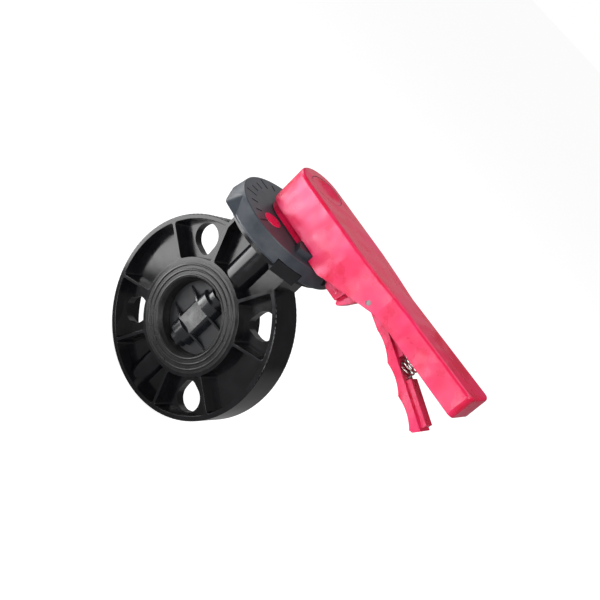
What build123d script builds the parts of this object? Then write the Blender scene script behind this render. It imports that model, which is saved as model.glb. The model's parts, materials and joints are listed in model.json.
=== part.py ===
from build123d import *
import os
from math import cos, radians, sin, sqrt

# Lever-operated wafer butterfly valve, DN 50, plastic body with a rubber seat.
# Millimetres. Origin: centre of the pipe bore. +Y: along the pipe. +Z: up the stem to the lever.
# +X: along the lever with the valve shut. Shut is the rest position, and a quarter turn about +Z opens it.

# Body
FLANGE_R = 82.5            # outer radius that sits inside the pipe flanges' bolts
BODY_HALF = 14.8           # half the body's thickness along the pipe
RIM_WALL = 4.2
WEB_HALF = 4.0             # the flat web halfway through the body
HUB_R = 48.0
RIB_THICK = 2.8
RIB_ANGLES = (25, 65, 115, 155, 205, 245, 295, 335)
SLOT_R_OUTER = 65.0        # centre of a bolt slot's wide end
SLOT_R_INNER = 57.0        # centre of its narrow end
SLOT_HALF_OUTER = 11.6
SLOT_HALF_INNER = 6.5
NECK_HALF = 34.5           # half the width of the neck under the top flange
NECK_WALL = 2.8
NECK_BOSS_R = 14.0
FOOT_BOSS_R = 11.0
POCKET_CORNER_R = 2.0      # inside corners of the moulded pockets
EDGE_ROUND_R = 0.5
RIM_ROUND_R = 1.0
TOP_FLANGE_R = 46.5
TOP_FLANGE_LOW = 93.0
TOP_FLANGE_HIGH = 103.2
LUG_AZIMUTH = -40.0        # the lug that keys the index plate to the body
LUG_WIDE = 22.0
LUG_REACH = 51.6

# Seat liner
BORE_R = 30.0
SLEEVE_R = 35.0
SEAT_FACE_R = 45.0
SEAT_FACE_DEPTH = 2.2      # how deep the liner's lips lie in the body
SEAT_PROUD = 0.2           # how far the lips' flat stands out of the body
RIDGE_FIRST_R = 33.4
RIDGE_PROUD = 0.75
MOUTH_R = 32.2             # the liner's bore opens out to this at its faces
MOUTH_DEEP = 3.4
RIDGE_PITCH = 4.25
RIDGE_COUNT = 3
RIDGE_SECTION_R = 1.0

# Stem, bushes and seals
STEM_R = 7.0
JOURNAL_R = 4.9
SQUARE = 9.8               # the stem's square through the disc and through the lever
STEM_LOW = -66.0
STEM_TOP = 137.0
SQUARE_LEVER_LOW = 112.4
DISC_SQUARE_HALF = 22.0
RUNNING = 0.05             # radial clearance of each running fit
BUSH_R = 9.5
UPPER_BUSH_LOW = 48.5
UPPER_BUSH_HIGH = 99.0
LOWER_BUSH_R = 7.2
LOWER_BUSH_HIGH = -38.0
GLAND_R = 12.5
GLAND_LOW = 99.0
CIRCLIP_LOW = 103.7
CIRCLIP_THICK = 1.2

# Disc
DISC_R = 29.6
DISC_HALF = 3.0
DISC_HUB_R = 12.8
DISC_HUB_HALF = 20.5
DISC_COLLAR_R = 9.8        # the hub's narrower ends, which carry the disc's seals
DISC_COLLAR_HALF = 26.5
GUSSET_THICK = 1.6
GUSSET_REACH = 25.0
FLAT_DEPTH = 10.0          # from the stem's axis to the flats on the hub
FLAT_HALF = 11.5

# Index plate
PLATE_TOP = 112.0
PLATE_LOW = 98.0
PLATE_TOP_R = 50.2
PLATE_LOW_R = 53.5
PLATE_POCKET_R = 47.0
PLATE_HOLE_R = 13.0
NOTCH_PITCH = 10.0
NOTCH_COUNT = 10
NOTCH_WIDE = 5.0
NOTCH_DEPTH = 3.2
NOTCH_FLOOR = 102.8
STOP_INNER_R = 33.0
STOP_OUTER_R = 43.8
STOP_TOP = 117.7
STOP_START = -43.0         # azimuth of the shut stop; the open stop mirrors it past the quarter turn
STOP_SPAN = 16.6
TICK_START = 169.0         # azimuth of the engraved scale's first line
TICK_PITCH = 14.8
TICK_COUNT = 8
TICK_INNER_R = 37.9
TICK_OUTER_R = 44.2
LONG_TICK_OUTER_R = 47.8
TICK_WIDE = 1.6
TICK_DEEP = 0.5
EAR_AZIMUTH = 241.0        # the corner that stands out of the plate's skirt
EAR_REACH = 58.0
EAR_SPAN = 23.0
EAR_ROUND_R = 8.0
SCREW_PLACE_R = 30.0
CAP_R = 7.5
CAP_PROUD = 0.3

# Lever
LEVER_LEFT = -26.5
HEAD_HALF = 21.5
WAIST_X = 103.0
WAIST_HALF = 15.4
GRIP_HALF = 16.0
LEVER_RIGHT = 193.0
HEAD_TOP = 149.3
GRIP_RISE_X = 95.0
GRIP_END_TOP = 151.6
ROOF = 3.5
WALL = 3.0
STEP_X = 40.0              # the head's lower edge steps down here
WALL_LOW = 118.5
LEVER_LOW = 112.9
SKIRT_RIGHT = 23.0
TOP_ROUND_R = 2.4          # rounding of the lever's top edge
END_ROUND_R = 4.5          # rounding of its two upright corners
LEVER_HUB_R = 13.0
COVER_R = 15.0
COVER_X = -1.5
COVER_DEPTH = 3.0
COVER_GAP = 0.2            # the joint round the cover, and how far it lies below the lever's top
DISH_DEPTH = 2.0
DISH_R = 13.4
STOP_GAP = 0.6             # degrees between the lever's stop lug and the plate's stop
STOP_RIB_X = 68.0          # the rib inside the lever that the released trigger rests against

# Trigger
PIVOT_X = 93.6
PIVOT_Z = 131.2
PIN_R = 2.0
TRIGGER_SLOPE = 18.0       # how far the trigger hangs open below the lever
TRIGGER_HALF = 8.0
CORE_HALF = 5.0            # the narrower core on the trigger's inner side
HEEL_HALF = 3.6            # half the thickness of the nose behind its pawl
FINGER_FIRST = 18.5
FINGER_PITCH = 24.6
FINGER_LOW = -4.3
FINGER_RISE = 2.1
LEDGE = 3.5
CORE_TOP = 7.8
PAWL_GAP = 0.45            # how far the pawl stands off the plate's notches

# Spring
SPRING_X = 143.5
SPRING_LOW = 117.3
SPRING_MEAN_R = 5.6
WIRE_R = 0.75
SPRING_TURNS = 9


def along_y(radius, y_from, y_to, x=0.0, z=0.0):
    """A round bar along the pipe's direction."""
    middle = (y_from + y_to) / 2
    bar = Cylinder(radius, abs(y_to - y_from), rotation=(90, 0, 0))
    return Pos(x, middle, z) * bar


def along_z(radius, z_from, z_to, x=0.0, y=0.0):
    """A round bar along the stem's direction."""
    return Pos(x, y, (z_from + z_to) / 2) * Cylinder(radius, abs(z_to - z_from))


def block(x_from, x_to, y_from, y_to, z_from, z_to):
    """A box between two corners."""
    centre = Pos((x_from + x_to) / 2, (y_from + y_to) / 2, (z_from + z_to) / 2)
    return centre * Box(x_to - x_from, y_to - y_from, z_to - z_from)


def side_prism(points, half_width):
    """A prism through Y from an outline given as X, Z pairs."""
    plane = Plane(origin=(0, half_width, 0), x_dir=(1, 0, 0), z_dir=(0, -1, 0))
    face = plane * make_face(Polyline(*points, close=True))
    return extrude(face, 2 * half_width, dir=(0, -1, 0))


def o_ring(centre_r, section_r, z):
    """A rubber ring about the stem."""
    return Pos(0, 0, z) * Torus(centre_r, section_r)


def plate_radius(z):
    """The index plate's outer radius at height z."""
    return PLATE_TOP_R + (PLATE_TOP - z) * (PLATE_LOW_R - PLATE_TOP_R) / (PLATE_TOP - PLATE_LOW)


# ---------------------------------------------------------------- body

def make_body():
    rim_inner = FLANGE_R - RIM_WALL
    rim = along_y(FLANGE_R, -BODY_HALF, BODY_HALF) - along_y(rim_inner, -BODY_HALF, BODY_HALF)
    neck_gap = block(-NECK_HALF, NECK_HALF, -BODY_HALF, BODY_HALF, 60, FLANGE_R + 1)
    body = rim - neck_gap
    body += along_y(rim_inner + 1, -WEB_HALF, WEB_HALF)
    body += block(-NECK_HALF + 1, NECK_HALF - 1, -WEB_HALF, WEB_HALF, 40, TOP_FLANGE_LOW + 1)
    body += along_y(HUB_R, -BODY_HALF, BODY_HALF)
    for angle in RIB_ANGLES:
        rib = block(HUB_R - 2, rim_inner + 1.5, -BODY_HALF, BODY_HALF, -RIB_THICK / 2, RIB_THICK / 2)
        body += Rot(0, -angle, 0) * rib
    for side in (-1, 1):
        outer = side * NECK_HALF
        inner = side * (NECK_HALF - NECK_WALL)
        body += block(min(outer, inner), max(outer, inner), -BODY_HALF, BODY_HALF, 69.0, TOP_FLANGE_LOW + 1)
    body += along_z(NECK_BOSS_R, 40, TOP_FLANGE_LOW + 1)
    body += along_z(FOOT_BOSS_R, -rim_inner - 1, -40)
    body = round_pockets(body)
    body += along_z(TOP_FLANGE_R, TOP_FLANGE_LOW, TOP_FLANGE_HIGH)
    lug = block(38, LUG_REACH, -LUG_WIDE / 2, LUG_WIDE / 2, TOP_FLANGE_LOW - 0.3, TOP_FLANGE_HIGH)
    body += Rot(0, 0, LUG_AZIMUTH) * lug
    for angle in (45, 135, 225, 315):
        body -= Rot(0, -angle, 0) * bolt_slot()
    lip_floor = BODY_HALF - SEAT_FACE_DEPTH
    body -= along_y(SLEEVE_R, -BODY_HALF, BODY_HALF)
    body -= along_y(SEAT_FACE_R, -BODY_HALF, -lip_floor)
    body -= along_y(SEAT_FACE_R, lip_floor, BODY_HALF)
    body -= along_z(STEM_R + 0.4, 20, UPPER_BUSH_LOW)
    body -= along_z(BUSH_R, UPPER_BUSH_LOW, GLAND_LOW)
    body -= along_z(GLAND_R, GLAND_LOW, TOP_FLANGE_HIGH)
    body -= along_z(LOWER_BUSH_R, STEM_LOW - 1.0, -20)
    for side in (-1, 1):
        body -= along_z(3.02, TOP_FLANGE_LOW + 1.2, TOP_FLANGE_HIGH, y=side * SCREW_PLACE_R)
    return body


def round_pockets(body):
    """The moulded pockets' inside corners, then the rims of all openings in the two faces."""
    corners = [edge for edge in body.edges().filter_by(Axis.Y) if 5 < edge.length < BODY_HALF]
    corners = [edge for edge in corners if edge.center().Z < 68]
    body = fillet(corners, POCKET_CORNER_R)
    rims = []
    for face in body.faces().filter_by(Axis.Y):
        if abs(abs(face.center().Y) - BODY_HALF) < 0.01:
            for wire in face.inner_wires():
                rims += [edge for edge in wire.edges() if len(wire.edges()) > 1]
    body = fillet(rims, EDGE_ROUND_R)
    outside = [edge for edge in body.edges().filter_by(GeomType.CIRCLE) if edge.length > 5 * FLANGE_R]
    outside = [edge for edge in outside if abs(abs(edge.center().Y) - BODY_HALF) < 0.01]
    return fillet(outside, RIM_ROUND_R)


def bolt_slot():
    """The egg-shaped bolt slot on the +X radius, wide at its outer end."""
    wide = Pos(SLOT_R_OUTER, 0) * Circle(SLOT_HALF_OUTER)
    narrow = Pos(SLOT_R_INNER, 0) * Circle(SLOT_HALF_INNER)
    outline = make_hull(wide.edges() + narrow.edges())
    plane = Plane(origin=(0, WEB_HALF + 1, 0), x_dir=(1, 0, 0), z_dir=(0, -1, 0))
    return extrude(plane * outline, 2 * WEB_HALF + 2, dir=(0, -1, 0))


def make_seat_liner():
    lip_floor = BODY_HALF - SEAT_FACE_DEPTH
    lip_face = BODY_HALF + SEAT_PROUD
    liner = along_y(SLEEVE_R, -lip_face, lip_face)
    liner += along_y(SEAT_FACE_R, -lip_face, -lip_floor)
    liner += along_y(SEAT_FACE_R, lip_floor, lip_face)
    for side in (-1, 1):
        for index in range(RIDGE_COUNT):
            radius = RIDGE_FIRST_R + index * RIDGE_PITCH
            crest = lip_face + RIDGE_PROUD - RIDGE_SECTION_R
            liner += Pos(0, side * crest, 0) * Rot(90, 0, 0) * Torus(radius, RIDGE_SECTION_R)
    liner -= along_y(BORE_R, -BODY_HALF - 3, BODY_HALF + 3)
    for side in (-1, 1):
        mouth = Cone(BORE_R, MOUTH_R, MOUTH_DEEP, rotation=(-90 * side, 0, 0))
        liner -= Pos(0, side * (lip_face - MOUTH_DEEP / 2), 0) * mouth
    liner -= along_z(STEM_R + 0.1, 20, 40)
    liner -= along_z(JOURNAL_R + 0.1, -40, -20)
    return liner


def make_upper_bush():
    bush = along_z(BUSH_R, UPPER_BUSH_LOW, UPPER_BUSH_HIGH)
    bush -= along_z(STEM_R + RUNNING, UPPER_BUSH_LOW, UPPER_BUSH_HIGH)
    for z in BUSH_RING_HEIGHTS:
        bush -= ring_groove(BUSH_R - 1.5, BUSH_R + 1, z, 2.2)
    return bush


def ring_groove(inner_r, outer_r, z, height):
    return along_z(outer_r, z - height / 2, z + height / 2) - along_z(inner_r, z - height / 2, z + height / 2)


BUSH_RING_HEIGHTS = (60.0, 86.0)
STEM_RING_HEIGHTS = (68.0, 76.0)


def make_bush_o_rings():
    rings = [o_ring(BUSH_R - 0.77, 0.73, z) for z in BUSH_RING_HEIGHTS]
    return Compound(children=rings)


def make_lower_bush():
    bush = along_z(LOWER_BUSH_R, STEM_LOW - 1.0, LOWER_BUSH_HIGH)
    return bush - along_z(JOURNAL_R + RUNNING, STEM_LOW - 1.0, LOWER_BUSH_HIGH)


def make_gland_ring():
    ring = along_z(GLAND_R, GLAND_LOW, TOP_FLANGE_HIGH)
    return ring - along_z(STEM_R + 0.4, GLAND_LOW, TOP_FLANGE_HIGH)


# ---------------------------------------------------------------- index plate

def make_index_plate():
    thickness = PLATE_TOP - PLATE_LOW
    plate = Pos(0, 0, PLATE_LOW + thickness / 2) * Cone(PLATE_LOW_R, PLATE_TOP_R, thickness)
    rims = plate.edges().filter_by(GeomType.CIRCLE).sort_by(Axis.Z)
    plate = fillet(rims[0], 1.6)
    rims = plate.edges().filter_by(GeomType.CIRCLE).sort_by(Axis.Z)
    plate = fillet(rims[-1], 0.8)
    plate += plate_ear()
    plate -= along_z(PLATE_POCKET_R, PLATE_LOW, TOP_FLANGE_HIGH)
    plate -= along_z(PLATE_HOLE_R, TOP_FLANGE_HIGH, PLATE_TOP)
    key = block(30, 60, -LUG_WIDE / 2 - 0.6, LUG_WIDE / 2 + 0.6, PLATE_LOW - 1, TOP_FLANGE_HIGH + 0.6)
    under_top = along_z(PLATE_POCKET_R, PLATE_LOW, TOP_FLANGE_HIGH + 1)
    plate -= Rot(0, 0, LUG_AZIMUTH) * key - under_top
    for index in range(NOTCH_COUNT):
        notch = block(PLATE_TOP_R - NOTCH_DEPTH, 60, -NOTCH_WIDE / 2, NOTCH_WIDE / 2, NOTCH_FLOOR, 120)
        plate -= Rot(0, 0, index * NOTCH_PITCH) * notch
    for start in (STOP_START, 90 - STOP_START - STOP_SPAN):
        plate += arc_block(STOP_INNER_R, STOP_OUTER_R, PLATE_TOP - 1, STOP_TOP, start, STOP_SPAN)
    for index in range(TICK_COUNT):
        azimuth = TICK_START + index * TICK_PITCH
        reach = LONG_TICK_OUTER_R if index % 3 == 1 else TICK_OUTER_R
        tick = block(TICK_INNER_R, reach, -TICK_WIDE / 2, TICK_WIDE / 2, PLATE_TOP - TICK_DEEP, PLATE_TOP + 1)
        plate -= Rot(0, 0, azimuth) * tick
    for side in (-1, 1):
        plate -= along_z(CAP_R, PLATE_TOP - 5, PLATE_TOP + 1, y=side * SCREW_PLACE_R)
        plate -= along_z(3.1, TOP_FLANGE_HIGH, PLATE_TOP, y=side * SCREW_PLACE_R)
    return plate


def plate_ear():
    """The corner of the plate's skirt, drawn in towards the plate's top."""
    levels = ((PLATE_LOW, PLATE_LOW_R - 0.6, EAR_REACH), (PLATE_TOP - 0.8, PLATE_TOP_R - 0.4, PLATE_TOP_R - 0.2))
    outlines = []
    for z, side_r, corner_r in levels:
        places = [(side_r, -EAR_SPAN), (corner_r, 0), (side_r, EAR_SPAN), (SCREW_PLACE_R, 0)]
        points = []
        for radius, turn in places:
            azimuth = radians(EAR_AZIMUTH + turn)
            points.append((radius * cos(azimuth), radius * sin(azimuth)))
        outlines.append(Pos(0, 0, z) * make_face(Polyline(*points, close=True)))
    ear = loft(outlines, ruled=True)
    azimuth = radians(EAR_AZIMUTH)
    outward = [edge for edge in ear.edges() if edge.bounding_box().size.Z > 5]
    corner = max(outward, key=lambda edge: edge.center().X * cos(azimuth) + edge.center().Y * sin(azimuth))
    return fillet(corner, EAR_ROUND_R)


def arc_block(inner_r, outer_r, z_from, z_to, start, span):
    """A block between two radii and two azimuths."""
    ring = along_z(outer_r, z_from, z_to) - along_z(inner_r, z_from, z_to)
    far = 2 * outer_r
    corners = [(0, 0)]
    for step in range(3):
        azimuth = radians(start + step * span / 2)
        corners.append((far * cos(azimuth), far * sin(azimuth)))
    wedge = extrude(Pos(0, 0, z_from) * make_face(Polyline(*corners, close=True)), z_to - z_from)
    return ring & wedge


def make_plate_screws():
    screws = []
    for side in (-1, 1):
        y = side * SCREW_PLACE_R
        screw = along_z(3.0, TOP_FLANGE_LOW + 1.5, PLATE_TOP - 5, y=y)
        screw += along_z(5.2, PLATE_TOP - 5, PLATE_TOP - 1.9, y=y)
        screw -= Pos(0, y, PLATE_TOP - 2.4) * extrude(RegularPolygon(2.4, 6), 2)
        screws.append(screw)
    return Compound(children=screws)


def make_screw_caps():
    caps = []
    for side in (-1, 1):
        y = side * SCREW_PLACE_R
        cap = along_z(CAP_R, PLATE_TOP - 1.7, PLATE_TOP + CAP_PROUD, y=y)
        caps.append(fillet(cap.edges().sort_by(Axis.Z)[-1], 0.25))
    return Compound(children=caps)


# ---------------------------------------------------------------- stem and disc

def make_stem():
    square_high = DISC_SQUARE_HALF + 3.0
    stem = along_z(STEM_R, square_high, STEM_TOP)
    square = block(-SQUARE / 2, SQUARE / 2, -SQUARE / 2, SQUARE / 2, -DISC_SQUARE_HALF, square_high)
    stem += square & along_z(STEM_R, -DISC_SQUARE_HALF, square_high)
    stem += along_z(JOURNAL_R, STEM_LOW, -DISC_SQUARE_HALF)
    lever_end = along_z(STEM_R + 1, SQUARE_LEVER_LOW, STEM_TOP)
    stem -= lever_end - block(-SQUARE / 2, SQUARE / 2, -SQUARE / 2, SQUARE / 2, SQUARE_LEVER_LOW, STEM_TOP)
    for z in STEM_RING_HEIGHTS:
        stem -= ring_groove(STEM_R - 2.0, STEM_R + 1, z, 2.4)
    stem -= ring_groove(STEM_R - 1.2, STEM_R + 1, CIRCLIP_LOW + CIRCLIP_THICK / 2, CIRCLIP_THICK)
    stem -= along_z(2.52, STEM_TOP - 16, STEM_TOP)
    return stem


def make_stem_o_rings():
    return Compound(children=[o_ring(STEM_R - 1.0, 0.98, z) for z in STEM_RING_HEIGHTS])


def make_stem_circlip():
    clip = along_z(STEM_R + 3.2, CIRCLIP_LOW, CIRCLIP_LOW + CIRCLIP_THICK)
    clip -= along_z(STEM_R - 1.2, CIRCLIP_LOW, CIRCLIP_LOW + CIRCLIP_THICK)
    return clip - block(0, 20, -2.5, 2.5, CIRCLIP_LOW - 1, CIRCLIP_LOW + 3)


def make_disc():
    disc = along_y(DISC_R, -DISC_HALF, DISC_HALF)
    disc += along_z(DISC_HUB_R, -DISC_HUB_HALF, DISC_HUB_HALF)
    disc += along_z(DISC_COLLAR_R, -DISC_COLLAR_HALF, DISC_COLLAR_HALF)
    for side in (-1, 1):
        near, far = sorted((side * FLAT_DEPTH, side * 20))
        disc -= block(-20, 20, near, far, -FLAT_HALF, FLAT_HALF)
    half_width = sqrt(DISC_HUB_R ** 2 - FLAT_DEPTH ** 2)
    outline = [(-half_width, FLAT_DEPTH), (half_width, FLAT_DEPTH), (GUSSET_REACH, DISC_HALF),
               (GUSSET_REACH, -DISC_HALF), (half_width, -FLAT_DEPTH), (-half_width, -FLAT_DEPTH),
               (-GUSSET_REACH, -DISC_HALF), (-GUSSET_REACH, DISC_HALF)]
    for height in (-FLAT_HALF, FLAT_HALF - GUSSET_THICK):
        disc += extrude(Pos(0, 0, height) * make_face(Polyline(*outline, close=True)), GUSSET_THICK)
    disc &= Sphere(DISC_R)
    disc -= block(-SQUARE / 2 - 0.03, SQUARE / 2 + 0.03, -SQUARE / 2 - 0.03, SQUARE / 2 + 0.03,
                  -DISC_SQUARE_HALF, DISC_SQUARE_HALF + 3.0)
    disc -= along_z(STEM_R + 0.03, DISC_SQUARE_HALF + 1.0, 30)
    disc -= along_z(JOURNAL_R + 0.03, -30, -DISC_SQUARE_HALF)
    disc -= along_z(STEM_R + 2.1, DISC_COLLAR_HALF - 2.0, 30)
    disc -= along_z(JOURNAL_R + 2.1, -30, -DISC_COLLAR_HALF + 2.0)
    return disc


def make_disc_o_rings():
    upper = o_ring(STEM_R + 1.05, 0.95, DISC_COLLAR_HALF - 1.0)
    lower = o_ring(JOURNAL_R + 1.05, 0.95, -DISC_COLLAR_HALF + 1.0)
    return Compound(children=[upper, lower])


# ---------------------------------------------------------------- lever

def lever_plan(inset):
    """The lever's outline seen from above, drawn in by an inset."""
    head_r = HEAD_HALF - inset
    head_x = LEVER_LEFT + HEAD_HALF
    shoulder = (58.0, HEAD_HALF - inset)
    waist = (WAIST_X, WAIST_HALF - inset)
    grip_end = (LEVER_RIGHT - inset, GRIP_HALF - inset)
    mirror = [(x, -y) for x, y in (shoulder, waist, grip_end)]
    middle = (82.0, 19.0 - inset)
    edges = [
        Line((head_x, head_r), shoulder),
        ThreePointArc(shoulder, middle, waist),
        Line(waist, grip_end),
        Line(grip_end, mirror[2]),
        Line(mirror[2], mirror[1]),
        ThreePointArc(mirror[1], (middle[0], -middle[1]), mirror[0]),
        Line(mirror[0], (head_x, -head_r)),
        ThreePointArc((head_x, -head_r), (head_x - head_r, 0), (head_x, head_r)),
    ]
    return make_face(Wire(edges))


def roof_height(x):
    """The height of the lever's top surface."""
    if x <= GRIP_RISE_X:
        return HEAD_TOP
    return HEAD_TOP + (GRIP_END_TOP - HEAD_TOP) * (x - GRIP_RISE_X) / (LEVER_RIGHT - GRIP_RISE_X)


def lever_side(drop, left, right):
    """The lever's side view below its top surface lowered by a drop, as X, Z pairs."""
    return [
        (left, WALL_LOW), (STEP_X, WALL_LOW), (STEP_X, LEVER_LOW + 0.2), (53.0, LEVER_LOW + 0.2),
        (62.5, 117.0), (81.0, 122.6), (92.5, 126.0), (101.0, 128.6), (107.0, 130.2), (right, 131.4),
        (right, roof_height(right) - drop), (GRIP_RISE_X, HEAD_TOP - drop), (left, HEAD_TOP - drop),
    ]


def make_lever():
    tall = extrude(Pos(0, 0, 100) * lever_plan(0), 60)
    corner_edges = tall.edges().filter_by(Axis.Z).sort_by(Axis.X)[-2:]
    tall = fillet(corner_edges, END_ROUND_R)
    lever = tall & side_prism(lever_side(0, LEVER_LEFT - 5, LEVER_RIGHT + 5), 40)
    top_edges = [edge for edge in lever.edges() if edge.center().Z > HEAD_TOP - 0.05]
    top_edges = [edge for edge in top_edges if not is_ridge(edge)]
    lever = fillet(top_edges, TOP_ROUND_R)
    cavity_plan = extrude(Pos(0, 0, 100) * lever_plan(WALL), 60)
    cavity = cavity_plan & side_prism(
        [(-40, 100), (210, 100), (210, roof_height(210) - ROOF), (GRIP_RISE_X, HEAD_TOP - ROOF),
         (-40, HEAD_TOP - ROOF)], 40)
    lever -= cavity
    skirt_plan = lever_plan(2.4) - lever_plan(4.9)
    skirt = extrude(Pos(0, 0, LEVER_LOW) * skirt_plan, 12)
    lever += skirt & block(-40, SKIRT_RIGHT, -40, 40, LEVER_LOW, LEVER_LOW + 12)
    lever += along_z(LEVER_HUB_R, LEVER_LOW, HEAD_TOP - ROOF + 0.5)
    for x_from, x_to in ((-24, -LEVER_HUB_R + 1), (LEVER_HUB_R - 1, 49)):
        lever += block(x_from, x_to, -1.5, 1.5, 124, HEAD_TOP - ROOF + 0.5)
    lever += block(46, 49, -HEAD_HALF + 1, HEAD_HALF - 1, 126, HEAD_TOP - ROOF + 0.5)
    for side in (-1, 1):
        lever += stop_lug(side)
    lever += along_z(COVER_R + 2.2, HEAD_TOP - COVER_DEPTH - 3.0, HEAD_TOP - ROOF + 0.5, x=COVER_X)
    lever += block(STOP_RIB_X, STOP_RIB_X + 3, -18.5, 18.5, arm_top(STOP_RIB_X + 3) + 0.45, HEAD_TOP - ROOF + 0.5)
    for side in (-1, 1):
        near, far = sorted((side * (TRIGGER_HALF + 0.4), side * 15.5))
        boss = along_y(5.0, near, far, PIVOT_X, PIVOT_Z)
        web = block(PIVOT_X - 1.5, PIVOT_X + 1.5, near, far, PIVOT_Z, HEAD_TOP - ROOF + 0.5)
        lever += boss + web
    lever += along_z(SPRING_MEAN_R - WIRE_R - 0.5, roof_height(SPRING_X) - ROOF - 5.5,
                     roof_height(SPRING_X) - ROOF + 0.5, x=SPRING_X)
    lever -= along_y(PIN_R + 0.01, -30, 30, PIVOT_X, PIVOT_Z)
    socket = SQUARE / 2 + 0.05
    lever -= block(-socket, socket, -socket, socket, LEVER_LOW - 1, STEM_TOP + 0.3)
    lever -= along_z(3.2, STEM_TOP, HEAD_TOP)
    lever -= along_z(8.0, HEAD_TOP - COVER_DEPTH - 5.0, HEAD_TOP)
    lever -= along_z(COVER_R, HEAD_TOP - COVER_DEPTH, HEAD_TOP + 1, x=COVER_X)
    return lever


def stop_lug(side):
    """The lug inside the lever's head that meets one of the plate's stops."""
    azimuth = radians(-STOP_START - STOP_SPAN - STOP_GAP)
    near = (STOP_INNER_R - 1.5, STOP_OUTER_R + 1.5)
    face = [(r * cos(azimuth), side * r * sin(azimuth)) for r in near]
    outline = [face[0], face[1], (STEP_X + 1.5, side * 14.5), (STEP_X - 6.0, side * 11.5)]
    return extrude(Pos(0, 0, LEVER_LOW + 0.3) * make_face(Polyline(*outline, close=True)),
                   HEAD_TOP - ROOF - LEVER_LOW)


def is_ridge(edge):
    """The crease across the lever's top where the grip starts to rise."""
    box = edge.bounding_box()
    return box.size.X < 0.01 and abs(edge.center().X - GRIP_RISE_X) < 0.1


def arm_top(x):
    """The upper edge of the trigger's nose arm, in front of its pivot."""
    return 118.5 + (x - 56.0) * 0.52


def make_lever_cover():
    cover_top = HEAD_TOP - COVER_GAP
    cover = along_z(COVER_R - COVER_GAP, HEAD_TOP - COVER_DEPTH, cover_top, x=COVER_X)
    ball = (DISH_R ** 2 + DISH_DEPTH ** 2) / (2 * DISH_DEPTH)
    return cover - Pos(COVER_X, 0, cover_top - DISH_DEPTH + ball) * Sphere(ball)


def make_lever_screw():
    head_low = HEAD_TOP - COVER_DEPTH - 3.8
    screw = along_z(5.0, head_low, head_low + 3.4)
    screw += along_z(2.5, STEM_TOP - 12, head_low)
    return screw - Pos(0, 0, head_low + 1.4) * extrude(RegularPolygon(2.3, 6), 3)


def make_lever_washer():
    low = HEAD_TOP - COVER_DEPTH - 5.0
    return along_z(7.6, low, low + 1.2) - along_z(2.7, low, low + 1.2)


# ---------------------------------------------------------------- trigger

def along_trigger(distance, height):
    """A point of the trigger from its distance out from the pivot and height over its centre line."""
    slope = radians(TRIGGER_SLOPE)
    x = PIVOT_X + distance * cos(slope) + height * sin(slope)
    z = PIVOT_Z - distance * sin(slope) + height * cos(slope)
    return (x, z)


def trigger_outline_face(edges):
    plane = Plane(origin=(0, 0, 0), x_dir=(1, 0, 0), z_dir=(0, -1, 0))
    return plane * make_face(Wire(edges))


def make_trigger():
    corners = [FINGER_FIRST + index * FINGER_PITCH for index in range(4)]
    tip = corners[-1]
    heel = (5.0, -4.6)
    edges = [Line(along_trigger(*heel), along_trigger(corners[0], FINGER_LOW + 0.3))]
    previous = along_trigger(corners[0], FINGER_LOW + 0.3)
    for start, end in zip(corners[:-1], corners[1:]):
        hollow = along_trigger((start + end) / 2, FINGER_LOW + FINGER_RISE)
        following = along_trigger(end, FINGER_LOW)
        edges.append(ThreePointArc(previous, hollow, following))
        previous = following
    corner_points = [along_trigger(tip + 2.2, FINGER_LOW + 1.6), along_trigger(tip + 3.2, LEDGE)]
    back = [along_trigger(20.0, LEDGE), along_trigger(10.0, 5.4), along_trigger(0.0, 5.4)]
    loop = [previous] + corner_points + back + [along_trigger(*heel)]
    for first, second in zip(loop[:-1], loop[1:]):
        edges.append(Line(first, second))
    flange = extrude(trigger_outline_face(edges), TRIGGER_HALF, both=True)
    trigger = flange + along_y(5.4, -TRIGGER_HALF, TRIGGER_HALF, PIVOT_X, PIVOT_Z)
    for start, end in ((8.0, 42.0), (59.0, tip + 1.4)):
        core = [along_trigger(start, 0), along_trigger(end, 0), along_trigger(end, LEDGE),
                along_trigger(end - 0.8, CORE_TOP), along_trigger(start, CORE_TOP)]
        if start < 10:
            core[-1] = along_trigger(20.0, CORE_TOP)
        trigger += side_prism(core, CORE_HALF)
    trigger += nose()
    trigger -= along_z(SPRING_MEAN_R + WIRE_R + 0.35, SPRING_LOW - 0.1, 135, x=SPRING_X)
    trigger -= along_y(PIN_R + RUNNING, -30, 30, PIVOT_X, PIVOT_Z)
    return trigger


def nose():
    """The arm in front of the pivot with the pawl that faces the plate's notches."""
    tip_x = 55.5
    arm = side_prism([
        (tip_x, 112.5), (tip_x, arm_top(tip_x)), (88.0, arm_top(88.0)), (PIVOT_X + 2, PIVOT_Z + 4.6),
        (PIVOT_X + 3, PIVOT_Z - 4.0), (84.0, 124.0), (72.6, 118.0), (70.7, 107.3), (59.0, 107.1),
        (tip_x + 1.5, 108.0),
    ], TRIGGER_HALF - 0.6)
    heel = [(68.0, 112.0), (71.4, 105.0), (73.4, 104.8), (76.6, 109.2), (81.6, 118.2), (87.0, 126.0), (68.0, 118.0)]
    arm += side_prism(heel, HEEL_HALF)
    tooth_low = 107.6
    tooth_x = plate_radius(tooth_low) + PAWL_GAP
    return arm + block(tooth_x, tip_x + 4, -2.1, 2.1, tooth_low, 111.6)


def make_trigger_pin():
    half = 17.0
    return along_y(PIN_R, -half, half, PIVOT_X, PIVOT_Z)


def make_trigger_spring():
    top = roof_height(SPRING_X) - ROOF - 0.1
    height = top - SPRING_LOW - 2 * WIRE_R
    pitch = height / SPRING_TURNS
    helix = Helix(pitch=pitch, height=height, radius=SPRING_MEAN_R)
    path = Pos(SPRING_X, 0, SPRING_LOW + WIRE_R) * helix
    start = path @ 0
    section = Plane(origin=start, z_dir=path % 0) * Circle(WIRE_R)
    return sweep(section, path=path, is_frenet=True)


# ---------------------------------------------------------------- files

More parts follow.
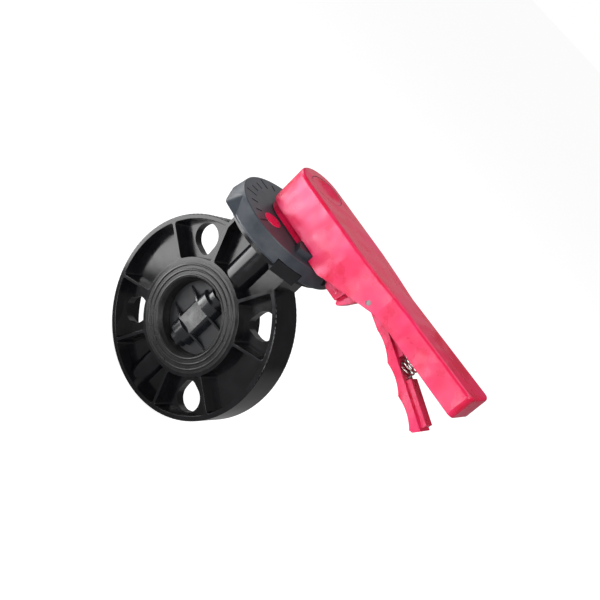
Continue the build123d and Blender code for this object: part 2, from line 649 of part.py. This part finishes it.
NODES = {
    "body": make_body,
    "seat_liner": make_seat_liner,
    "upper_bush": make_upper_bush,
    "bush_o_rings": make_bush_o_rings,
    "lower_bush": make_lower_bush,
    "gland_ring": make_gland_ring,
    "index_plate": make_index_plate,
    "plate_screws": make_plate_screws,
    "screw_caps": make_screw_caps,
    "stem": make_stem,
    "stem_o_rings": make_stem_o_rings,
    "stem_circlip": make_stem_circlip,
    "disc": make_disc,
    "disc_o_rings": make_disc_o_rings,
    "lever": make_lever,
    "lever_cover": make_lever_cover,
    "lever_screw": make_lever_screw,
    "lever_washer": make_lever_washer,
    "trigger": make_trigger,
    "trigger_pin": make_trigger_pin,
    "trigger_spring": make_trigger_spring,
}

os.makedirs("parts", exist_ok=True)
for name, make in NODES.items():
    export_step(make(), f"parts/{name}.step")
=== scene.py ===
import bpy
import json
from math import pi, radians
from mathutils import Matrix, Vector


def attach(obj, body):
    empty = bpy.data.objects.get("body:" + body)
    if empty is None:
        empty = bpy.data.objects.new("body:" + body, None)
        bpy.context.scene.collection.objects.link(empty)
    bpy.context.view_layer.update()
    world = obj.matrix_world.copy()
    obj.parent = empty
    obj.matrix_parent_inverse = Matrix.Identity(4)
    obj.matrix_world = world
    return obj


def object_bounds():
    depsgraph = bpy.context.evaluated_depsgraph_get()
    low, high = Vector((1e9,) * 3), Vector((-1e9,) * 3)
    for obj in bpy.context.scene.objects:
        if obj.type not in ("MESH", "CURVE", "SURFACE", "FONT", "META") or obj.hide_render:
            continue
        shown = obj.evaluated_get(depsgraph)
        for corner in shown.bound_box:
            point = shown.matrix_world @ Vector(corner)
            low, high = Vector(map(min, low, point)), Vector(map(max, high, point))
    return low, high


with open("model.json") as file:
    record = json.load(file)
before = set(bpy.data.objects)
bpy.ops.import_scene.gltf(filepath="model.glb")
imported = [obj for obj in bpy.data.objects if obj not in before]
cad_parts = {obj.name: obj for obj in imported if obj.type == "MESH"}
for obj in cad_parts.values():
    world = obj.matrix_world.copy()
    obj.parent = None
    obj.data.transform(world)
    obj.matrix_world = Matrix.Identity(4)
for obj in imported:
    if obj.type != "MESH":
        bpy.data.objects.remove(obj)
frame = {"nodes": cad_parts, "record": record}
CAD_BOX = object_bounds()

# Metres, unless a name says otherwise. The origin is the centre of the pipe bore. +Z runs up the
# stem to the lever, and +X along the lever with the valve shut.

# Camera
CAMERA_PLACE = (0.3190, -0.6112, 0.3510)
CAMERA_TURN = (59.462, -42.583, 45.632)
LENS_MM = 57.285
SENSOR_MM = 36.0
CLIP_START = 0.01

# Studio
FLOOR_Z = CAD_BOX[0][2] - 0.001
FLOOR_SIZE = 80.0
FLOOR_COLOUR = (0.5, 0.5, 0.5, 1)
FLOOR_ROUGHNESS = 0.9
FLOOR_GLOW = 0.9            # seen by the camera only
WORLD_STRENGTH = 0.12       # to everything but the camera, which sees plain white
WHITE = (1, 1, 1, 1)
LAMP_Z = FLOOR_Z + 0.003    # height of the softboxes that lie on the floor and face up
SOFTBOXES = {               # place, turn in degrees, width, length, watts
    "head_softbox": ((-0.52, -0.72, LAMP_Z), (180, 0, 0), 0.55, 0.6, 11.0),
    "grip_softbox": ((0.11, -0.76, LAMP_Z), (180, 0, 0), 0.26, 0.5, 3.2),
    "left_softbox": ((-0.40, -0.21, LAMP_Z), (180, 0, 0), 0.53, 0.4, 4.2),
    "strip_softbox": ((-0.073, -0.155, LAMP_Z), (180, 0, 0), 0.03, 0.09, 0.055),
    "side_softbox": ((-1.0, 0.15, 0.12), (0, -90, 0), 0.6, 0.6, 3.0),
    "camera_softbox": ((0.75, -1.10, 0.90), (52, 0, 34), 1.0, 1.0, 17.0),
    "rear_softbox": ((-0.67, 1.28, 0.57), (73.7, 0, 208), 0.8, 0.8, 0.8),
    "top_softbox": ((0.10, 0.20, 1.1), (0, 0, 0), 0.7, 0.7, 4.0),
}

# Painted shade in the joint between the lever and its round cover, where the groove is too fine
# to shade itself
SEAM_X = -0.0015
SEAM_R = 0.0149
SEAM_HALF = 0.0003
SEAM_LOW_Z = 0.1455
SEAM_SHADE_COLOUR = (0.12, 0.0, 0.004)

# Scale on the index plate, coloured dark inside its engraved lines
LINE_LOW_Z = 0.1113
LINE_HIGH_Z = 0.11192
LINE_INNER_R = 0.0370
LINE_OUTER_R = 0.0485
LINE_COLOUR = (0.006, 0.007, 0.009)

# Disc: the depth of its own faces, and how much rougher they are than the polished hub
DISC_FACE_Y = 0.0032
SATIN_EXTRA = 0.35

# Turned and drawn finishes
RING_FREQUENCY = 14000.0    # radians per metre of radius
RING_HEIGHT = 0.004
DRAWN_STRETCH = 0.04        # round the bar, against 1 along it
DRAWN_SCALE = 9000.0
DRAWN_HEIGHT = 0.01
DRAWN_COLOUR = (0.24, 0.24, 0.245)

# Wear, dust and grain
EDGE_FLAT = 0.995           # cosines between the true and the rounded normal
EDGE_SHARP = 0.86
WORN_ROUGHNESS = 0.25
DUST_COLOUR = (0.5, 0.48, 0.45)
BUMP_DISTANCE = 0.001

# Round mark that an ejector pin left on the trigger's nose
MARK_PLACE = (0.0664, -0.0074, 0.1118)
MARK_R = 0.0019
MARK_DEPTH = 0.0008
MARK_SIDES = 40
MARK_RIM = 0.0003
MARK_STEP = 0.0001          # how far the hollow's wall leans in
MARK_HOLLOW = 0.0003
MARK_EDGE = 0.00006
FACE_REACH = 0.0001         # how near a face has to be to a plane to count as in it


# ---------------------------------------------------------------- stage

def add_camera():
    turn = [radians(angle) for angle in CAMERA_TURN]
    bpy.ops.object.camera_add(location=CAMERA_PLACE, rotation=turn)
    camera = bpy.context.object
    camera.data.lens = LENS_MM
    camera.data.sensor_width = SENSOR_MM
    camera.data.clip_start = CLIP_START
    bpy.context.scene.camera = camera


def add_floor():
    bpy.ops.mesh.primitive_plane_add(size=FLOOR_SIZE, location=(0, 0, FLOOR_Z))
    floor = bpy.context.object
    floor.name = "floor"
    material = bpy.data.materials.new("pale_floor")
    material.use_nodes = True
    shader = material.node_tree.nodes["Principled BSDF"]
    shader.inputs["Base Color"].default_value = FLOOR_COLOUR
    shader.inputs["Roughness"].default_value = FLOOR_ROUGHNESS
    shader.inputs["Emission Color"].default_value = WHITE
    seen = material.node_tree.nodes.new("ShaderNodeLightPath").outputs["Is Camera Ray"]
    glow = math_node(material.node_tree, "MULTIPLY", seen, FLOOR_GLOW)
    material.node_tree.links.new(glow, shader.inputs["Emission Strength"])
    floor.data.materials.append(material)


def add_backdrop():
    world = bpy.data.worlds.new("studio")
    bpy.context.scene.world = world
    world.use_nodes = True
    tree = world.node_tree
    background = tree.nodes["Background"]
    background.inputs["Color"].default_value = WHITE
    seen = tree.nodes.new("ShaderNodeLightPath").outputs["Is Camera Ray"]
    strength = math_node(tree, "MULTIPLY_ADD", seen, 1 - WORLD_STRENGTH, WORLD_STRENGTH)
    tree.links.new(strength, background.inputs["Strength"])
    bpy.context.scene.view_settings.view_transform = "Standard"


def add_softboxes():
    for name, (place, turn, width, length, watts) in SOFTBOXES.items():
        turn = [radians(angle) for angle in turn]
        bpy.ops.object.light_add(type="AREA", location=place, rotation=turn)
        light = bpy.context.object
        light.name = name
        light.data.shape = "RECTANGLE"
        light.data.size = width
        light.data.size_y = length
        light.data.energy = watts


# ---------------------------------------------------------------- shader node groups

def new_group(name, inputs, outputs):
    """An empty node group with named sockets; gives the tree, its inputs and its outputs."""
    tree = bpy.data.node_groups.new(name, "ShaderNodeTree")
    for label, kind, value in inputs:
        socket = tree.interface.new_socket(label, in_out="INPUT", socket_type=kind)
        if value is not None:
            socket.default_value = value
    for label, kind in outputs:
        tree.interface.new_socket(label, in_out="OUTPUT", socket_type=kind)
    given = tree.nodes.new("NodeGroupInput").outputs
    result = tree.nodes.new("NodeGroupOutput").inputs
    return tree, given, result


def math_node(tree, operation, first, second=None, third=None):
    """A Math node's result. Each value is a number or a socket."""
    node = tree.nodes.new("ShaderNodeMath")
    node.operation = operation
    for index, value in enumerate((first, second, third)):
        if isinstance(value, (int, float)):
            node.inputs[index].default_value = value
        elif value is not None:
            tree.links.new(value, node.inputs[index])
    return node.outputs["Value"]


def noise_node(tree, place, scale, detail, roughness=0.5):
    """A noise between 0 and 1. The scale is a number or a socket."""
    node = tree.nodes.new("ShaderNodeTexNoise")
    node.inputs["Detail"].default_value = detail
    node.inputs["Roughness"].default_value = roughness
    tree.links.new(place, node.inputs["Vector"])
    if isinstance(scale, (int, float)):
        node.inputs["Scale"].default_value = scale
    else:
        tree.links.new(scale, node.inputs["Scale"])
    return node.outputs["Fac"]


def split(tree, vector):
    """A vector's X, Y and Z."""
    node = tree.nodes.new("ShaderNodeSeparateXYZ")
    tree.links.new(vector, node.inputs["Vector"])
    return node.outputs


def radius_from(tree, first, second):
    """The distance from an axis, from the two coordinates across it."""
    square = math_node(tree, "MULTIPLY", second, second)
    return math_node(tree, "SQRT", math_node(tree, "MULTIPLY_ADD", first, first, square))


def moulded_grain_group():
    """Fine grain, the slow waves of a shrunken moulding, and a mottle between 0 and 1."""
    tree, given, result = new_group(
        "moulded_grain",
        [("Place", "NodeSocketVector", None), ("Grain Scale", "NodeSocketFloat", 2200.0),
         ("Grain Height", "NodeSocketFloat", 0.01), ("Wave Scale", "NodeSocketFloat", 60.0),
         ("Wave Height", "NodeSocketFloat", 0.2), ("Mottle Scale", "NodeSocketFloat", 120.0)],
        [("Height", "NodeSocketFloat"), ("Mottle", "NodeSocketFloat")])
    grain = noise_node(tree, given["Place"], given["Grain Scale"], 2.0)
    wave = noise_node(tree, given["Place"], given["Wave Scale"], 1.0)
    mottle = noise_node(tree, given["Place"], given["Mottle Scale"], 4.0, 0.62)
    fine = math_node(tree, "MULTIPLY", grain, given["Grain Height"])
    height = math_node(tree, "MULTIPLY_ADD", wave, given["Wave Height"], fine)
    spread = tree.nodes.new("ShaderNodeMapRange")
    spread.inputs["From Min"].default_value = 0.32
    spread.inputs["From Max"].default_value = 0.68
    tree.links.new(mottle, spread.inputs["Value"])
    tree.links.new(height, result["Height"])
    tree.links.new(spread.outputs["Result"], result["Mottle"])
    return tree


def edge_wear_group():
    """A mask of the rubbed edges, broken up by noise."""
    tree, given, result = new_group(
        "edge_wear",
        [("Place", "NodeSocketVector", None), ("Width", "NodeSocketFloat", 0.0006),
         ("Break-up Scale", "NodeSocketFloat", 350.0), ("Amount", "NodeSocketFloat", 0.6)],
        [("Mask", "NodeSocketFloat")])
    rounded = tree.nodes.new("ShaderNodeBevel")
    rounded.samples = 4
    tree.links.new(given["Width"], rounded.inputs["Radius"])
    geometry = tree.nodes.new("ShaderNodeNewGeometry")
    turn = tree.nodes.new("ShaderNodeVectorMath")
    turn.operation = "DOT_PRODUCT"
    tree.links.new(rounded.outputs["Normal"], turn.inputs[0])
    tree.links.new(geometry.outputs["Normal"], turn.inputs[1])
    edge = tree.nodes.new("ShaderNodeMapRange")
    edge.inputs["From Min"].default_value = EDGE_FLAT
    edge.inputs["From Max"].default_value = EDGE_SHARP
    tree.links.new(turn.outputs["Value"], edge.inputs["Value"])
    broken = noise_node(tree, given["Place"], given["Break-up Scale"], 3.0)
    broken = math_node(tree, "MULTIPLY_ADD", broken, 1.6, -0.3)
    mask = math_node(tree, "MULTIPLY", edge.outputs["Result"], broken)
    mask = math_node(tree, "MULTIPLY", mask, given["Amount"])
    clamp = tree.nodes.new("ShaderNodeClamp")
    tree.links.new(mask, clamp.inputs["Value"])
    tree.links.new(clamp.outputs["Result"], result["Mask"])
    return tree


def dust_group():
    """Faint dust in soft patches on the surfaces that face up."""
    tree, given, result = new_group(
        "settled_dust",
        [("Place", "NodeSocketVector", None), ("Scale", "NodeSocketFloat", 40.0),
         ("Amount", "NodeSocketFloat", 0.05)],
        [("Mask", "NodeSocketFloat")])
    geometry = tree.nodes.new("ShaderNodeNewGeometry")
    upward = math_node(tree, "MAXIMUM", split(tree, geometry.outputs["Normal"])["Z"], 0.0)
    patches = noise_node(tree, given["Place"], given["Scale"], 5.0, 0.65)
    mask = math_node(tree, "MULTIPLY", upward, patches)
    mask = math_node(tree, "MULTIPLY", mask, given["Amount"])
    tree.links.new(mask, result["Mask"])
    return tree


# ---------------------------------------------------------------- materials

def place_group(tree, group, values):
    """A node of the group, with its own values on the named inputs."""
    node = tree.nodes.new("ShaderNodeGroup")
    node.node_tree = group
    for label, value in values.items():
        node.inputs[label].default_value = value
    return node


def mix_colour(tree, mask, first, second):
    """A mix of two colours, each a colour or a socket, by a mask."""
    node = tree.nodes.new("ShaderNodeMix")
    node.data_type = "RGBA"
    tree.links.new(mask, node.inputs["Factor"])
    for socket, value in ((node.inputs[6], first), (node.inputs[7], second)):
        if isinstance(value, tuple):
            socket.default_value = (*value, 1)
        else:
            tree.links.new(value, socket)
    return node.outputs[2]


def map_range(tree, value, low, high):
    """A value between 0 and 1, spread from low to high."""
    node = tree.nodes.new("ShaderNodeMapRange")
    node.inputs["To Min"].default_value = low
    node.inputs["To Max"].default_value = high
    tree.links.new(value, node.inputs["Value"])
    return node.outputs["Result"]


def finish_material(name, look, groups):
    """A material from a table of colours and sizes, with grain, mottle, worn edges and dust."""
    material = bpy.data.materials.new(name)
    material.use_nodes = True
    tree = material.node_tree
    shader = tree.nodes["Principled BSDF"]
    place = tree.nodes.new("ShaderNodeTexCoord").outputs["Object"]
    grain = place_group(tree, groups["grain"], look["grain"])
    wear = place_group(tree, groups["wear"], look["wear"])
    dust = place_group(tree, groups["dust"], look["dust"])
    for node in (grain, wear, dust):
        tree.links.new(place, node.inputs["Place"])
    colour = mix_colour(tree, grain.outputs["Mottle"], look["colour"], look["second_colour"])
    height = grain.outputs["Height"]
    roughness = map_range(tree, grain.outputs["Mottle"], *look["roughness"])
    if "lines" in look:
        colour, height = look["lines"](tree, place, colour, height)
    if "satin" in look:
        roughness = look["satin"](tree, place, roughness)
    colour = mix_colour(tree, wear.outputs["Mask"], colour, look["worn_colour"])
    colour = mix_colour(tree, dust.outputs["Mask"], colour, DUST_COLOUR)
    roughness = math_node(tree, "MULTIPLY_ADD", wear.outputs["Mask"], WORN_ROUGHNESS, roughness)
    bump = tree.nodes.new("ShaderNodeBump")
    bump.inputs["Distance"].default_value = BUMP_DISTANCE
    tree.links.new(height, bump.inputs["Height"])
    tree.links.new(colour, shader.inputs["Base Color"])
    tree.links.new(roughness, shader.inputs["Roughness"])
    tree.links.new(bump.outputs["Normal"], shader.inputs["Normal"])
    for label, value in look.get("shader", {}).items():
        shader.inputs[label].default_value = value
    return material


def scale_lines(tree, place, colour, height):
    """Dark colour inside the engraved lines of the index plate's scale."""
    at = split(tree, place)
    radius = radius_from(tree, at["Y"], at["X"])
    mask = math_node(tree, "GREATER_THAN", at["Z"], LINE_LOW_Z)
    for test, value, limit in (("LESS_THAN", at["Z"], LINE_HIGH_Z),
                               ("GREATER_THAN", radius, LINE_INNER_R),
                               ("LESS_THAN", radius, LINE_OUTER_R)):
        mask = math_node(tree, "MULTIPLY", mask, math_node(tree, test, value, limit))
    return mix_colour(tree, mask, colour, LINE_COLOUR), height


def cover_seam_shade(tree, place, colour, height):
    """Painted shade in the joint round the cover on the lever's top."""
    at = split(tree, place)
    radius = radius_from(tree, math_node(tree, "SUBTRACT", at["X"], SEAM_X), at["Y"])
    off_seam = math_node(tree, "ABSOLUTE", math_node(tree, "SUBTRACT", radius, SEAM_R))
    near = math_node(tree, "LESS_THAN", off_seam, SEAM_HALF)
    high = math_node(tree, "GREATER_THAN", at["Z"], SEAM_LOW_Z)
    mask = math_node(tree, "MULTIPLY", near, high)
    return mix_colour(tree, mask, colour, SEAM_SHADE_COLOUR), height


def turned_rings(tree, place, colour, height):
    """Fine rings about the bore, as the liner's mould was turned."""
    at = split(tree, place)
    radius = radius_from(tree, at["Z"], at["X"])
    rings = math_node(tree, "SINE", math_node(tree, "MULTIPLY", radius, RING_FREQUENCY))
    return colour, math_node(tree, "MULTIPLY_ADD", rings, RING_HEIGHT, height)


def drawn_lines(tree, place, colour, height):
    """Fine lines round a turned bar that stands along Z."""
    at = split(tree, place)
    squeezed = tree.nodes.new("ShaderNodeCombineXYZ")
    for axis, factor in (("X", DRAWN_STRETCH), ("Y", DRAWN_STRETCH), ("Z", 1.0)):
        tree.links.new(math_node(tree, "MULTIPLY", at[axis], factor), squeezed.inputs[axis])
    lines = noise_node(tree, squeezed.outputs["Vector"], DRAWN_SCALE, 2.0)
    colour = mix_colour(tree, lines, colour, DRAWN_COLOUR)
    return colour, math_node(tree, "MULTIPLY_ADD", lines, DRAWN_HEIGHT, height)


def satin_face(tree, place, roughness):
    """The disc's own face is left satin, and its hub is polished."""
    depth = math_node(tree, "ABSOLUTE", split(tree, place)["Y"])
    face = math_node(tree, "LESS_THAN", depth, DISC_FACE_Y)
    return math_node(tree, "MULTIPLY_ADD", face, SATIN_EXTRA, roughness)


LOOKS = {
    "black_pvc": {
        "colour": (0.0035, 0.0035, 0.0045), "second_colour": (0.008, 0.008, 0.010),
        "worn_colour": (0.05, 0.05, 0.052),
        "roughness": (0.12, 0.24),
        "grain": {"Grain Scale": 2600.0, "Grain Height": 0.004, "Wave Scale": 90.0,
                  "Wave Height": 0.10, "Mottle Scale": 75.0},
        "wear": {"Width": 0.0007, "Amount": 0.14}, "dust": {"Amount": 0.01},
        "shader": {"IOR": 1.50, "Specular IOR Level": 0.40},
    },
    "seat_rubber": {
        "colour": (0.006, 0.006, 0.006), "second_colour": (0.012, 0.012, 0.012),
        "worn_colour": (0.04, 0.04, 0.04),
        "roughness": (0.26, 0.38),
        "grain": {"Grain Scale": 3500.0, "Grain Height": 0.012, "Wave Scale": 120.0,
                  "Wave Height": 0.04, "Mottle Scale": 160.0},
        "wear": {"Width": 0.0004, "Amount": 0.15}, "dust": {"Amount": 0.03},
        "lines": turned_rings,
    },
    "seal_rubber": {
        "colour": (0.010, 0.010, 0.010), "second_colour": (0.016, 0.016, 0.016),
        "worn_colour": (0.03, 0.03, 0.03),
        "roughness": (0.40, 0.55),
        "grain": {"Grain Scale": 5000.0, "Grain Height": 0.006, "Wave Scale": 200.0,
                  "Wave Height": 0.02, "Mottle Scale": 300.0},
        "wear": {"Width": 0.0002, "Amount": 0.1}, "dust": {"Amount": 0.0},
    },
    "slate_plastic": {
        "colour": (0.030, 0.037, 0.048), "second_colour": (0.042, 0.050, 0.062),
        "worn_colour": (0.12, 0.13, 0.15),
        "roughness": (0.30, 0.42),
        "grain": {"Grain Scale": 2400.0, "Grain Height": 0.009, "Wave Scale": 70.0,
                  "Wave Height": 0.14, "Mottle Scale": 130.0},
        "wear": {"Width": 0.0006, "Amount": 0.35}, "dust": {"Amount": 0.03},
        "lines": scale_lines,
    },
    "red_plastic": {
        "colour": (0.68, 0.004, 0.036), "second_colour": (0.80, 0.016, 0.105),
        "worn_colour": (0.88, 0.11, 0.19),
        "roughness": (0.22, 0.36),
        "grain": {"Grain Scale": 2000.0, "Grain Height": 0.008, "Wave Scale": 52.0,
                  "Wave Height": 1.6, "Mottle Scale": 55.0},
        "wear": {"Width": 0.0008, "Amount": 0.40}, "dust": {"Amount": 0.02},
        # painted shade in the joint round the lever's cover
        "lines": cover_seam_shade,
        "shader": {"IOR": 1.50, "Specular IOR Level": 0.65, "Specular Tint": (1.0, 0.72, 1.0, 1)},
    },
    "disc_plastic": {
        "colour": (0.005, 0.006, 0.008), "second_colour": (0.012, 0.013, 0.016),
        "worn_colour": (0.07, 0.07, 0.075),
        "roughness": (0.16, 0.30),
        "grain": {"Grain Scale": 2600.0, "Grain Height": 0.004, "Wave Scale": 80.0,
                  "Wave Height": 0.08, "Mottle Scale": 110.0},
        "wear": {"Width": 0.0006, "Amount": 0.30}, "dust": {"Amount": 0.02},
        "satin": satin_face, "shader": {"IOR": 1.6},
    },
    "bush_plastic": {
        "colour": (0.52, 0.50, 0.45), "second_colour": (0.60, 0.57, 0.51),
        "worn_colour": (0.66, 0.64, 0.60),
        "roughness": (0.38, 0.52),
        "grain": {"Grain Scale": 2600.0, "Grain Height": 0.008, "Wave Scale": 90.0,
                  "Wave Height": 0.05, "Mottle Scale": 140.0},
        "wear": {"Width": 0.0003, "Amount": 0.2}, "dust": {"Amount": 0.0},
    },
    "steel": {
        "colour": (0.15, 0.145, 0.145), "second_colour": (0.21, 0.205, 0.205),
        "worn_colour": (0.40, 0.40, 0.40),
        "roughness": (0.30, 0.45),
        "grain": {"Grain Scale": 4000.0, "Grain Height": 0.003, "Wave Scale": 200.0,
                  "Wave Height": 0.01, "Mottle Scale": 400.0},
        "wear": {"Width": 0.0003, "Amount": 0.4}, "dust": {"Amount": 0.0},
        "lines": drawn_lines, "shader": {"Metallic": 1.0},
    },
    "spring_steel": {
        "colour": (0.62, 0.60, 0.56), "second_colour": (0.74, 0.72, 0.68),
        "worn_colour": (0.85, 0.84, 0.82),
        "roughness": (0.14, 0.26),
        "grain": {"Grain Scale": 5000.0, "Grain Height": 0.002, "Wave Scale": 300.0,
                  "Wave Height": 0.01, "Mottle Scale": 700.0},
        "wear": {"Width": 0.0002, "Amount": 0.2}, "dust": {"Amount": 0.0},
        "shader": {"Metallic": 1.0},
    },
}


def paint_nodes(materials):
    """Each CAD node gets the material of its slot in the record."""
    for part in frame["record"]["subparts"]:
        node = frame["nodes"][part["node"]]
        node.data.materials.clear()
        node.data.materials.append(materials[part["material_slot"]])


# ---------------------------------------------------------------- the added mark

def add_pin_mark(material):
    """A ring round a shallow hollow, standing a little out of the trigger's face towards -Y."""
    bpy.ops.object.select_all(action="DESELECT")
    bpy.ops.mesh.primitive_cylinder_add(vertices=MARK_SIDES, radius=MARK_R, depth=MARK_DEPTH,
                                        location=MARK_PLACE, rotation=(pi / 2, 0, 0))
    mark = bpy.context.object
    mark.name = "nose_pin_mark"
    bpy.ops.object.transform_apply(location=True, rotation=True, scale=True)
    front = MARK_PLACE[1] - MARK_DEPTH / 2
    bpy.ops.object.mode_set(mode="EDIT")
    bpy.ops.mesh.select_all(action="DESELECT")
    bpy.ops.object.mode_set(mode="OBJECT")
    for face in mark.data.polygons:
        face.select = face.normal.y < -0.9 and abs(face.center.y - front) < FACE_REACH
    bpy.ops.object.mode_set(mode="EDIT")
    bpy.ops.mesh.select_mode(type="FACE")
    bpy.ops.mesh.inset(thickness=MARK_RIM, depth=0)
    bpy.ops.mesh.inset(thickness=MARK_STEP, depth=-MARK_HOLLOW)
    bpy.ops.object.mode_set(mode="OBJECT")
    bevel = mark.modifiers.new("soft_edges", "BEVEL")
    bevel.width = MARK_EDGE
    bevel.segments = 2
    bpy.ops.object.modifier_apply(modifier=bevel.name)
    bpy.ops.object.shade_smooth_by_angle(angle=radians(30))
    mark.data.materials.append(material)
    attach(mark, "trigger")


add_camera()
add_floor()
add_backdrop()
add_softboxes()
GROUPS = {"grain": moulded_grain_group(), "wear": edge_wear_group(), "dust": dust_group()}
MATERIALS = {name: finish_material(name, look, GROUPS) for name, look in LOOKS.items()}
paint_nodes(MATERIALS)
add_pin_mark(MATERIALS["red_plastic"])
